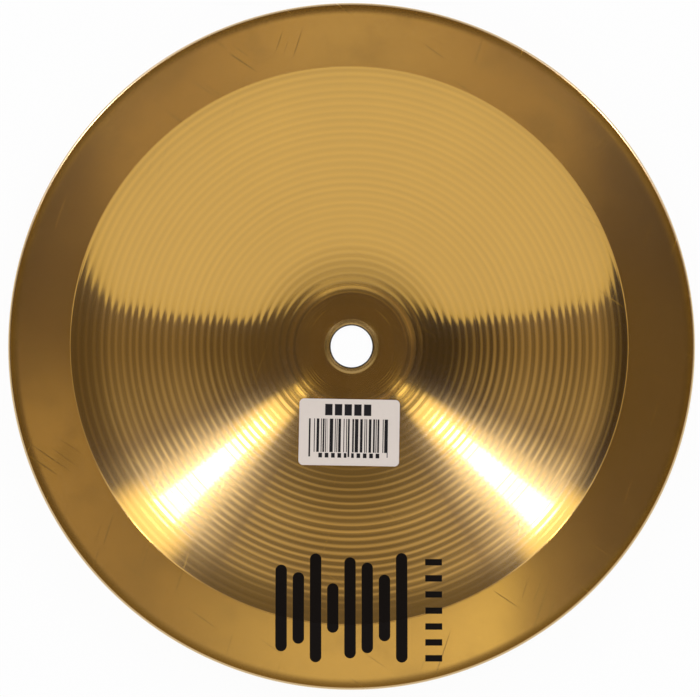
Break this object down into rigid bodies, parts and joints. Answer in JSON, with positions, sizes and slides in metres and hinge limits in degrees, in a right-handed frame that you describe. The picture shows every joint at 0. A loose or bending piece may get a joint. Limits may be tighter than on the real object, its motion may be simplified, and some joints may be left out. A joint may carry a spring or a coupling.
{
  "type": "bell cymbal",
  "caption": "Small heavy brass bell cymbal: a shallow turned bowl inside a flat flange, with a centre mounting hole and a plain stock label in the bowl.",
  "frame": {"origin": "middle of the mounting hole on the crown's outer face, which is the lowest face of the part", "axes": "+Z along the hole, out of the open bowl; +Y away from the label, so that the label lies on the -Y side of the hole; +X to the right of it, seen from above"},
  "size_m": [0.2032, 0.2032, 0.0165],
  "materials": {
    "brass": "bowl turned in fine round grooves, flange satin, edge polished, clear lacquer",
    "label_paper": "matte white paper with plain black bars"
  },
  "bodies": {
    "root": {"cymbal_body": "brass", "stock_label": "label_paper"}
  },
  "joints": []
}
